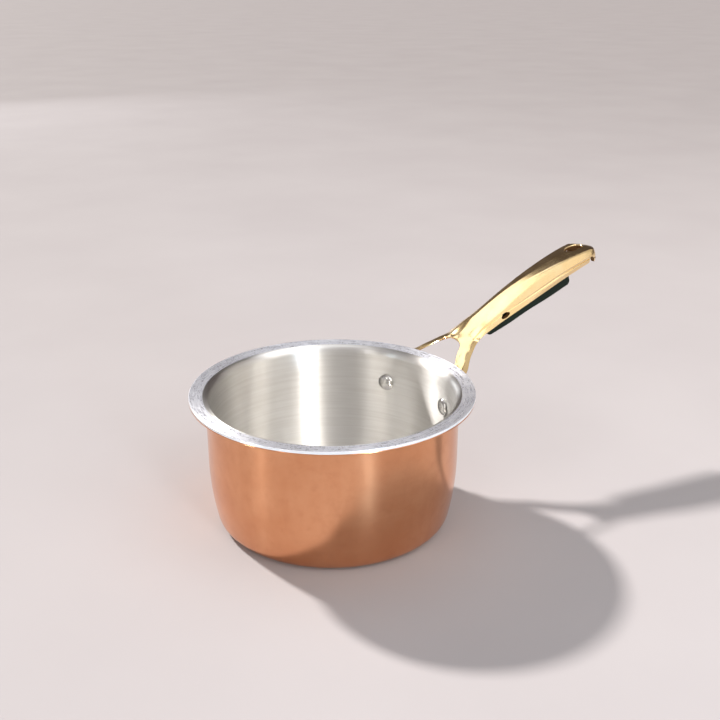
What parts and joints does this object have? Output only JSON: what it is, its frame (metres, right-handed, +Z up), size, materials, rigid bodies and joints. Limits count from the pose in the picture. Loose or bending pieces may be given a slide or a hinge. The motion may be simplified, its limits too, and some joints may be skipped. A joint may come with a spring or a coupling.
{
  "type": "saucepan",
  "caption": "Small copper saucepan with a steel lining, a flared pouring lip and a riveted fork-rooted brass handle with a soft grip strip under it.",
  "frame": {"origin": "centre of the flat base on the standing plane, on the vertical axis of the vessel", "axes": "+Z up; +X from the vessel along the handle to its nose; +Y to the left of a cook who holds the handle towards the pan"},
  "size_m": [0.3463, 0.18, 0.1387],
  "materials": {
    "copper": "satin copper with a light patina",
    "core": "raw sheet",
    "lining": "circular brushed",
    "handle": "polished",
    "grip": "matt silicone",
    "rivets": "polished domes"
  },
  "bodies": {
    "root": {"copper_shell": "copper", "aluminium_core": "core", "steel_lining": "lining", "handle": "handle", "grip_strip": "grip", "rivet_left": "rivets", "rivet_right": "rivets"}
  },
  "joints": []
}
